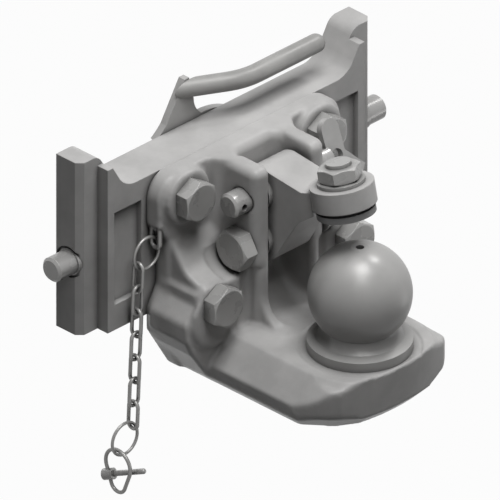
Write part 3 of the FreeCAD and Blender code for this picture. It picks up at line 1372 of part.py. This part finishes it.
NODES = [
    "carriage", "locking_pin_left", "locking_pin_right", "follower_stud_left", "follower_stud_right",
    "pin_spring_left", "pin_spring_right", "cam_lever_plate", "grip_bar", "lever_pivot_bolt",
    "hitch_body", "flange_bolt_upper_left", "flange_bolt_upper_right", "flange_bolt_lower_left",
    "flange_bolt_lower_right", "hold_down_arm", "arm_bush_upper", "arm_bush_lower", "pivot_bolt",
    "pivot_washer", "pivot_nut", "hold_down_pin", "pin_handle", "pad_screw", "pad_lock_nut",
    "pad_washer", "pad_ring", "hold_down_pad", "coupling_ball", "ball_washer", "ball_bolt",
    "chain_staple", "upper_ring", "lower_ring", "linch_bail", "linch_pin",
] + ["chain_link_%d" % (i + 1) for i in range(7)]

for item in doc.Objects:
    if "Invalid" in item.State or "Error" in item.State:
        raise RuntimeError("%s did not build: %s" % (item.Name, item.State))
for node in NODES:
    item = doc.getObjectsByLabel(node)[0]
    if item.Shape.isNull() or not item.Shape.isValid():
        raise RuntimeError(node + " has no valid shape")
    item.Shape.exportStep("parts/%s.step" % node)
    print(node, len(item.Shape.Solids), round(item.Shape.Volume))
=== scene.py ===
import math
import bpy
import bmesh
import numpy as np
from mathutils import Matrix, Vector
from mathutils.bvhtree import BVHTree
from mathutils.kdtree import KDTree


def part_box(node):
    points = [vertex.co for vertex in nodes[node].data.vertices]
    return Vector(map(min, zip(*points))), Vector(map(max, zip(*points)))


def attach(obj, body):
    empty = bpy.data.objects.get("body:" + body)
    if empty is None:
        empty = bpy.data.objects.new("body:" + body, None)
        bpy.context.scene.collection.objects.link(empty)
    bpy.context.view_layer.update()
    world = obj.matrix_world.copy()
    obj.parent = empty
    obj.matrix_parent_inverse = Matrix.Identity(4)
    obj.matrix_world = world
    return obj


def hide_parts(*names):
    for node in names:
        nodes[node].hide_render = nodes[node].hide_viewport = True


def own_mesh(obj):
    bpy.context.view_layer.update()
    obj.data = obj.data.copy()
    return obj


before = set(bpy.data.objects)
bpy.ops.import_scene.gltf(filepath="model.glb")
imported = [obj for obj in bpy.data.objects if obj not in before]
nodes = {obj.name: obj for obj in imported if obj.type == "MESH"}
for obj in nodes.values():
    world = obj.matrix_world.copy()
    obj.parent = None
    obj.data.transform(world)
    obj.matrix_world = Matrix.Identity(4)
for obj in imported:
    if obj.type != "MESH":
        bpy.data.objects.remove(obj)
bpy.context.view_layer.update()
scene = bpy.context.scene
scene.view_settings.view_transform = "Standard"

# Camera: parallel view from the front left. Lengths here and below are in metres.
AZIMUTH = math.radians(45)
ELEVATION = math.radians(30.2)
TARGET = Vector((-0.0138, 0.1035, 0.0))
VIEW_WIDTH = 0.377
CAMERA_DISTANCE = 2.0
CLIP_END = 20

# Casting: how the copy of the hitch's solid is rounded.
VOXEL = 0.0014
SMOOTHING_PASSES = 8
ROUND_REACH = 0.0045          # from a sharp edge, how far the surface may leave the solid's
ROUND_FADE = 0.4              # share of that reach over which the rounding fades out
SHARP_ANGLE = math.radians(28)
EDGE_STEP = 0.0005
SEAT_RADIUS = 0.057           # edges nearer to the ball's axis stay crisp
BORE_RADIUS = 0.0125          # and so do edges nearer to a cross pin's axis
WELD_DISTANCE = 1e-7

# Platform's front corners: arcs in plan, bevelled at 45 degrees below their wall.
CORNER_RADIUS = 0.050
CORNER_CENTRE = (0.026, 0.0065)
WALL_BOTTOM = -0.074
CORNER_ANGLES = (20, 30, 40, 50, 60, 70)
BEVEL_ANGLES = (40, 50, 60)

# Locking pins' springs, on the pins' line.
PIN_LINE_Y = 0.155
PIN_LINE_Z = 0.027
SPRING_START = 0.06925
SPRING_END = 0.11375
SPRING_WIRE_RADIUS = 0.00122
SPRING_COIL_RADIUS = 0.0078
SPRING_TURNS = 6
SPRING_SIDES = 10
SPRING_STEPS = 40             # a turn

# Floor and world
FLOOR_REACH = 6.0
FLOOR_HEIGHT = -0.42
FLOOR_ROUGHNESS = 0.9
FLOOR_WHITE = 0.97            # how far the camera sees white instead of the lit floor
FLOOR_COLOUR = (0.10, 0.10, 0.10, 1)
WORLD_COLOUR = (0.01, 0.01, 0.01, 1)
WHITE = (1, 1, 1, 1)

# Surfaces. A range says which values of a noise or a mask are stretched over 0 to 1.
SPECULAR_LEVEL = 0.18
NOISE_ROUGHNESS = 0.55
NOISE_RANGE = (0.3, 0.7)
DRIFT_SCALE = 38.0
DRIFT_DETAIL = 5.0
DRIFT_RANGE = (0.35, 0.65)
ROUGHNESS_SPREAD = 0.08       # the drift also moves the roughness, this much either way
GRAIN_DETAIL = 3.0
GRAIN_DEPTH = 0.0002
SCUFF_SCALE = 160.0
SCUFF_DETAIL = 6.0
SCUFF_LEAST = 0.35            # share of an edge's wear that the scuffs always leave
EDGE_SAMPLES = 4
EDGE_RANGE = (0.02, 0.25)
EDGE_GAIN = 1.55              # a rubbed edge has the metal's colour times this, plus the lift
EDGE_LIFT = 0.06
# Painted shade in corners and creases, from an ambient occlusion node: its samples, reach, range
# and how dark it gets.
PAINTED_SHADE_SAMPLES = 6
PAINTED_SHADE_DISTANCE = 0.007
PAINTED_SHADE_RANGE = (0.35, 0.9)
PAINTED_SHADE_DARKNESS = 0.35

# Camera
away = Vector((-math.sin(AZIMUTH) * math.cos(ELEVATION),
               -math.cos(AZIMUTH) * math.cos(ELEVATION),
               math.sin(ELEVATION)))
camera_data = bpy.data.cameras.new("camera")
camera_data.type = "ORTHO"
camera_data.ortho_scale = VIEW_WIDTH
camera_data.clip_end = CLIP_END
camera = bpy.data.objects.new("camera", camera_data)
camera.location = TARGET + away * CAMERA_DISTANCE
camera.rotation_euler = (-away).to_track_quat("-Z", "Y").to_euler()
scene.collection.objects.link(camera)
scene.camera = camera


def tree_of(name):
    """A fresh material with its node tree, its shader and its output."""
    material = bpy.data.materials.new(name)
    material.use_nodes = True
    tree = material.node_tree
    tree.nodes.clear()
    output = tree.nodes.new("ShaderNodeOutputMaterial")
    shader = tree.nodes.new("ShaderNodeBsdfPrincipled")
    tree.links.new(shader.outputs[0], output.inputs["Surface"])
    return material, tree, shader, output


def add(tree, kind, **settings):
    """A node with settings; names that start with in_ go to its inputs."""
    node = tree.nodes.new(kind)
    for key, value in settings.items():
        if key.startswith("in_"):
            node.inputs[key[3:].replace("_", " ")].default_value = value
        else:
            setattr(node, key, value)
    return node


def math_node(tree, operation, first, second):
    """A Math node fed by links or numbers."""
    node = tree.nodes.new("ShaderNodeMath")
    node.operation = operation
    for slot, value in enumerate((first, second)):
        if isinstance(value, (int, float)):
            node.inputs[slot].default_value = value
        else:
            tree.links.new(value, node.inputs[slot])
    return node.outputs[0]


def mix_colour(tree, factor, first, second):
    """A colour mix; the factor is a link, the colours are links or tuples."""
    node = tree.nodes.new("ShaderNodeMix")
    node.data_type = "RGBA"
    tree.links.new(factor, node.inputs[0])
    for slot, value in ((6, first), (7, second)):
        if isinstance(value, tuple):
            node.inputs[slot].default_value = value + (1.0,)
        else:
            tree.links.new(value, node.inputs[slot])
    return node.outputs[2]


def ramp(tree, value, low, high, from_value=0.0, to_value=1.0):
    """Map a value's range to another, clamped."""
    node = tree.nodes.new("ShaderNodeMapRange")
    node.clamp = True
    node.inputs["From Min"].default_value = low
    node.inputs["From Max"].default_value = high
    node.inputs["To Min"].default_value = from_value
    node.inputs["To Max"].default_value = to_value
    tree.links.new(value, node.inputs["Value"])
    return node.outputs["Result"]


def noise(tree, where, scale, detail):
    """Noise at a place, as a value."""
    node = add(tree, "ShaderNodeTexNoise",
               in_Scale=scale, in_Detail=detail, in_Roughness=NOISE_ROUGHNESS)
    tree.links.new(where, node.inputs["Vector"])
    return node.outputs["Fac"]


def edge_mask(tree, radius):
    """Near 1 at sharp edges, where a rounded normal leaves the true one; and that normal."""
    bevel = add(tree, "ShaderNodeBevel", samples=EDGE_SAMPLES, in_Radius=radius)
    geometry = tree.nodes.new("ShaderNodeNewGeometry")
    dot = tree.nodes.new("ShaderNodeVectorMath")
    dot.operation = "DOT_PRODUCT"
    tree.links.new(bevel.outputs[0], dot.inputs[0])
    tree.links.new(geometry.outputs["Normal"], dot.inputs[1])
    turned = math_node(tree, "SUBTRACT", 1.0, dot.outputs["Value"])
    return ramp(tree, turned, *EDGE_RANGE), bevel.outputs[0]


def steel(name, colour, roughness, metallic, grain, wear, edge,
          grain_size=900.0, stretch=(1, 1, 1), blotch=0.08):
    """Metal with colour drift, fine grain in its bump, edges rubbed bright and painted shade in its
    corners.
    """
    material, tree, shader, _ = tree_of(name)
    place = tree.nodes.new("ShaderNodeTexCoord").outputs["Object"]
    mapping = add(tree, "ShaderNodeMapping", in_Scale=stretch)
    tree.links.new(place, mapping.inputs["Vector"])
    drift = noise(tree, place, DRIFT_SCALE, DRIFT_DETAIL)
    fine = noise(tree, mapping.outputs[0], grain_size, GRAIN_DETAIL)
    dark = tuple(c * (1 - blotch) for c in colour)
    light = tuple(min(1.0, c * (1 + blotch)) for c in colour)
    base = mix_colour(tree, ramp(tree, drift, *DRIFT_RANGE), dark, light)

    mask, rounded = edge_mask(tree, edge)
    scuff_noise = noise(tree, place, SCUFF_SCALE, SCUFF_DETAIL)
    scuffs = ramp(tree, scuff_noise, *NOISE_RANGE, SCUFF_LEAST, 1.0)
    rubbed = math_node(tree, "MULTIPLY", mask, scuffs)
    rubbed = math_node(tree, "MULTIPLY", rubbed, wear)
    bright = tuple(min(1.0, c * EDGE_GAIN + EDGE_LIFT) for c in colour)
    base = mix_colour(tree, rubbed, base, bright)

    # Painted shade: the colour darkens in corners and creases, where an ambient occlusion node
    # finds them shaded.
    corner = add(tree, "ShaderNodeAmbientOcclusion",
                 samples=PAINTED_SHADE_SAMPLES, in_Distance=PAINTED_SHADE_DISTANCE)
    painted_shade = tuple(c * PAINTED_SHADE_DARKNESS for c in colour)
    base = mix_colour(tree, ramp(tree, corner.outputs["AO"], *PAINTED_SHADE_RANGE), painted_shade, base)

    tree.links.new(base, shader.inputs["Base Color"])
    shader.inputs["Metallic"].default_value = metallic
    shader.inputs["Specular IOR Level"].default_value = SPECULAR_LEVEL
    uneven = ramp(tree, drift, *NOISE_RANGE,
                  roughness - ROUGHNESS_SPREAD, roughness + ROUGHNESS_SPREAD)
    tree.links.new(uneven, shader.inputs["Roughness"])
    bump = add(tree, "ShaderNodeBump", in_Strength=grain, in_Distance=GRAIN_DEPTH)
    tree.links.new(fine, bump.inputs["Height"])
    tree.links.new(rounded, bump.inputs["Normal"])
    tree.links.new(bump.outputs[0], shader.inputs["Normal"])
    return material


cast_grey = steel("cast_grey", (0.40, 0.395, 0.39), 0.36, 0.0,
                  grain=0.30, wear=0.45, edge=0.0009, grain_size=700.0)
plate_grey = steel("plate_grey", (0.38, 0.376, 0.37), 0.38, 0.1,
                   grain=0.12, wear=0.5, edge=0.0005, grain_size=1200.0)
turned_steel = steel("turned_steel", (0.37, 0.366, 0.36), 0.30, 0.25,
                     grain=0.10, wear=0.5, edge=0.0005, grain_size=500.0,
                     stretch=(0.05, 1, 1), blotch=0.05)
grip_steel = steel("grip_steel", (0.29, 0.287, 0.28), 0.40, 0.1,
                   grain=0.10, wear=0.4, edge=0.0005)
ball_steel = steel("ball_steel", (0.36, 0.356, 0.35), 0.36, 0.1,
                   grain=0.05, wear=0.3, edge=0.0005, grain_size=420.0,
                   stretch=(0.04, 0.04, 1), blotch=0.04)
zinc = steel("zinc", (0.36, 0.357, 0.35), 0.28, 0.2,
             grain=0.08, wear=0.6, edge=0.0006)
chain_steel = steel("chain_steel", (0.33, 0.327, 0.32), 0.34, 0.4,
                    grain=0.1, wear=0.3, edge=0.0003)
dark_steel = steel("dark_steel", (0.16, 0.16, 0.16), 0.45, 0.2,
                   grain=0.1, wear=0.4, edge=0.0004)
spring_steel = steel("spring_steel", (0.22, 0.22, 0.22), 0.35, 0.5,
                     grain=0.05, wear=0.1, edge=0.0002)

# Of the nodes that aren't named here the chain's links are chain_steel and the rest are zinc.
# hitch_body and the two springs aren't shown; the pieces that replace them have their own.
MATERIALS = {
    "carriage": cast_grey, "hold_down_arm": cast_grey,
    "cam_lever_plate": plate_grey, "pin_handle": plate_grey, "grip_bar": grip_steel,
    "locking_pin_left": turned_steel, "locking_pin_right": turned_steel,
    "hold_down_pin": turned_steel, "arm_bush_upper": turned_steel, "arm_bush_lower": turned_steel,
    "coupling_ball": ball_steel, "hold_down_pad": dark_steel, "pad_ring": dark_steel,
    "chain_staple": chain_steel, "upper_ring": chain_steel, "lower_ring": chain_steel,
    "linch_bail": chain_steel,
}


def cover(piece, material):
    """One material on the whole piece."""
    if piece.data.materials:
        for i in range(len(piece.data.materials)):
            piece.data.materials[i] = material
    else:
        piece.data.materials.append(material)


for name, node in nodes.items():
    default = chain_steel if name.startswith("chain_link") else zinc
    cover(node, MATERIALS.get(name, default))


def cut_corners(mesh, planes):
    """Cut plane by plane, each with a filled face where it cut."""
    work = bmesh.new()
    work.from_mesh(mesh)
    bmesh.ops.remove_doubles(work, verts=work.verts, dist=WELD_DISTANCE)
    for point, normal in planes:
        parts = list(work.verts) + list(work.edges) + list(work.faces)
        found = bmesh.ops.bisect_plane(work, geom=parts, dist=WELD_DISTANCE, plane_co=point,
                                       plane_no=normal, clear_outer=True)
        edges = [e for e in found["geom_cut"] if isinstance(e, bmesh.types.BMEdge)]
        bmesh.ops.holes_fill(work, edges=edges, sides=0)
    bmesh.ops.triangulate(work, faces=work.faces)
    bmesh.ops.recalc_face_normals(work, faces=work.faces)
    work.to_mesh(mesh)
    work.free()


CROSS_PINS = []
for pin in ("hold_down_pin", "pivot_bolt"):
    low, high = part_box(pin)
    CROSS_PINS.append(((low.y + high.y) / 2, (low.z + high.z) / 2))


def stays_crisp(point):
    """Edges that keep their corners: round the ball's seat, and at the cross pins' bores."""
    return point.xy.length < SEAT_RADIUS or any(
        math.hypot(point.y - y, point.z - z) < BORE_RADIUS for y, z in CROSS_PINS)


def sharp_points(mesh):
    """Points along the edges where two faces meet at more than the sharp angle."""
    work = bmesh.new()
    work.from_mesh(mesh)
    points = []
    for edge in work.edges:
        if len(edge.link_faces) == 2 and edge.calc_face_angle(0.0) > SHARP_ANGLE:
            a, b = edge.verts[0].co, edge.verts[1].co
            if stays_crisp(a):
                continue
            count = max(1, int((b - a).length / EDGE_STEP))
            points += [a.lerp(b, i / count) for i in range(count + 1)]
    work.free()
    tree = KDTree(len(points))
    for i, point in enumerate(points):
        tree.insert(point, i)
    tree.balance()
    return tree


def surface_of(mesh):
    """The mesh as a tree that finds its nearest point."""
    work = bmesh.new()
    work.from_mesh(mesh)
    tree = BVHTree.FromBMesh(work)
    work.free()
    return tree


def voxel_mesh(piece):
    """The piece's mesh, made again of small even faces."""
    remesh = piece.modifiers.new("voxels", "REMESH")
    remesh.mode = "VOXEL"
    remesh.voxel_size = VOXEL
    evaluated = piece.evaluated_get(bpy.context.evaluated_depsgraph_get())
    mesh = bpy.data.meshes.new_from_object(evaluated)
    piece.modifiers.clear()
    return mesh


def smoothed(mesh, points):
    """The points after the smoothing passes, each halfway to the middle of its neighbours."""
    count = len(points)
    pairs = np.empty(len(mesh.edges) * 2, dtype=np.int64)
    mesh.edges.foreach_get("vertices", pairs)
    first, second = pairs[0::2], pairs[1::2]
    degree = np.bincount(pairs, minlength=count)[:, None].astype(float)
    for _ in range(SMOOTHING_PASSES):
        total = np.stack([np.bincount(first, points[second, k], count)
                          + np.bincount(second, points[first, k], count)
                          for k in range(3)], axis=1)
        points = 0.5 * points + 0.5 * total / degree
    return points


def cast_copy(node_name, name, planes):
    """A copy of a casting with its corners cut and its sharp edges rounded.

    Away from its sharp edges the copy keeps the solid's surface."""
    piece = bpy.data.objects.new(name, nodes[node_name].data.copy())
    scene.collection.objects.link(piece)
    cut_corners(piece.data, planes)
    exact = surface_of(piece.data)
    sharp = sharp_points(piece.data)
    mesh = voxel_mesh(piece)
    piece.data = mesh
    count = len(mesh.vertices)
    flat = np.empty(count * 3)
    mesh.vertices.foreach_get("co", flat)
    rest = flat.reshape(-1, 3)
    moved = smoothed(mesh, rest)
    for i in range(count):
        distance = sharp.find(rest[i])[2]
        share = min(1.0, max(0.0, (ROUND_REACH - distance) / (ROUND_FADE * ROUND_REACH)))
        if share < 1.0:
            near = np.array(exact.find_nearest(moved[i])[0])
            moved[i] = share * moved[i] + (1.0 - share) * near
    mesh.vertices.foreach_set("co", moved.ravel())
    mesh.update()
    for polygon in mesh.polygons:
        polygon.use_smooth = True
    return piece


def coil_spring(name, side, spring):
    """A locking pin's spring, coiled around the pins' line."""
    rings = SPRING_STEPS * SPRING_TURNS
    verts = []
    for i in range(rings + 1):
        share = i / rings
        angle = 2 * math.pi * SPRING_TURNS * share
        x = SPRING_START + (SPRING_END - SPRING_START) * share
        for k in range(SPRING_SIDES):
            a = 2 * math.pi * k / SPRING_SIDES
            radius = SPRING_COIL_RADIUS + SPRING_WIRE_RADIUS * math.cos(a)
            verts.append((side * (x + SPRING_WIRE_RADIUS * math.sin(a)),
                          PIN_LINE_Y + radius * math.cos(angle),
                          PIN_LINE_Z + radius * math.sin(angle)))
    faces = []
    for i in range(rings):
        here, there = i * SPRING_SIDES, (i + 1) * SPRING_SIDES
        for k in range(SPRING_SIDES):
            after = (k + 1) % SPRING_SIDES
            faces.append((here + k, here + after, there + after, there + k))
    faces.append(tuple(range(SPRING_SIDES)))
    faces.append(tuple(rings * SPRING_SIDES + k for k in range(SPRING_SIDES)))
    mesh = bpy.data.meshes.new(name)
    mesh.from_pydata(verts, [], faces)
    work = bmesh.new()
    work.from_mesh(mesh)
    bmesh.ops.recalc_face_normals(work, faces=work.faces)
    work.to_mesh(mesh)
    work.free()
    for polygon in mesh.polygons:
        polygon.use_smooth = len(polygon.vertices) == 4
    piece = bpy.data.objects.new(name, mesh)
    scene.collection.objects.link(piece)
    cover(piece, spring_steel)
    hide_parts(spring)
    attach(piece, "hitch")
    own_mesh(piece)


def white_rays(tree):
    """1 for rays that come from the camera or a glossy surface."""
    paths = tree.nodes.new("ShaderNodeLightPath")
    return math_node(tree, "MAXIMUM",
                     paths.outputs["Is Camera Ray"], paths.outputs["Is Glossy Ray"])


def blend_shaders(tree, factor, first, second, output):
    """Show the second shader as far as the factor goes, and else the first."""
    mix = tree.nodes.new("ShaderNodeMixShader")
    tree.links.new(factor, mix.inputs[0])
    tree.links.new(first.outputs[0], mix.inputs[1])
    tree.links.new(second.outputs[0], mix.inputs[2])
    tree.links.new(mix.outputs[0], output.inputs["Surface"])


def area_lamp(name, position, aim, size, power):
    """A soft square lamp."""
    data = bpy.data.lights.new(name, "AREA")
    data.shape = "SQUARE"
    data.size = size
    data.energy = power
    lamp = bpy.data.objects.new(name, data)
    lamp.location = position
    lamp.rotation_euler = (Vector(aim) - Vector(position)).to_track_quat("-Z", "Y").to_euler()
    lamp.visible_camera = False
    scene.collection.objects.link(lamp)


# Floor and world. What the camera sees of both is white; the light that they give is low.
floor_mesh = bpy.data.meshes.new("floor")
corners = [(x * FLOOR_REACH, y * FLOOR_REACH, FLOOR_HEIGHT)
           for x, y in ((-1, -1), (1, -1), (1, 1), (-1, 1))]
floor_mesh.from_pydata(corners, [], [(0, 1, 2, 3)])
floor = bpy.data.objects.new("floor", floor_mesh)
scene.collection.objects.link(floor)
floor_material, floor_tree, floor_shader, floor_output = tree_of("floor_white")
floor_shader.inputs["Base Color"].default_value = FLOOR_COLOUR
floor_shader.inputs["Roughness"].default_value = FLOOR_ROUGHNESS
glow = add(floor_tree, "ShaderNodeEmission", in_Color=WHITE, in_Strength=1.0)
seen = math_node(floor_tree, "MULTIPLY", white_rays(floor_tree), FLOOR_WHITE)
blend_shaders(floor_tree, seen, floor_shader, glow, floor_output)
floor_mesh.materials.append(floor_material)

world = bpy.data.worlds.new("world")
scene.world = world
world.use_nodes = True
world_tree = world.node_tree
world_tree.nodes.clear()
world_output = world_tree.nodes.new("ShaderNodeOutputWorld")
dim = add(world_tree, "ShaderNodeBackground", in_Color=WORLD_COLOUR, in_Strength=1.0)
white = add(world_tree, "ShaderNodeBackground", in_Color=WHITE, in_Strength=1.0)
blend_shaders(world_tree, white_rays(world_tree), dim, white, world_output)

# Lamps: place, what they aim at, size and watts.
area_lamp("top_light", (-0.10, -0.22, 1.5), (0, 0.08, 0), 0.7, 20.0)
area_lamp("key_light", (0.88, -0.03, 1.34), (0, 0.08, 0), 0.3, 7.0)
area_lamp("front_light", (-0.50, -0.66, 1.26), (0, 0.08, 0), 0.4, 4.0)
area_lamp("low_light", (0.80, -0.40, -0.33), (0, 0.08, 0), 0.3, 0.8)
area_lamp("back_light", (0.3, 2.0, 0.5), (0, 0.15, 0), 1.0, 7.0)

# The hitch casting.
corner_planes = []
for side in (-1, 1):
    centre = Vector((side * CORNER_CENTRE[0], CORNER_CENTRE[1], WALL_BOTTOM))
    for angle in CORNER_ANGLES:
        outward = Vector((side * math.cos(math.radians(angle)), -math.sin(math.radians(angle)), 0))
        wall = centre + outward * CORNER_RADIUS
        corner_planes.append((wall, outward))
        if angle in BEVEL_ANGLES:
            corner_planes.append((wall, (outward + Vector((0, 0, -1))).normalized()))
casting = cast_copy("hitch_body", "hitch_casting", corner_planes)
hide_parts("hitch_body")
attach(casting, "hitch")
cover(casting, cast_grey)

coil_spring("coil_left", -1, "pin_spring_left")
coil_spring("coil_right", 1, "pin_spring_right")
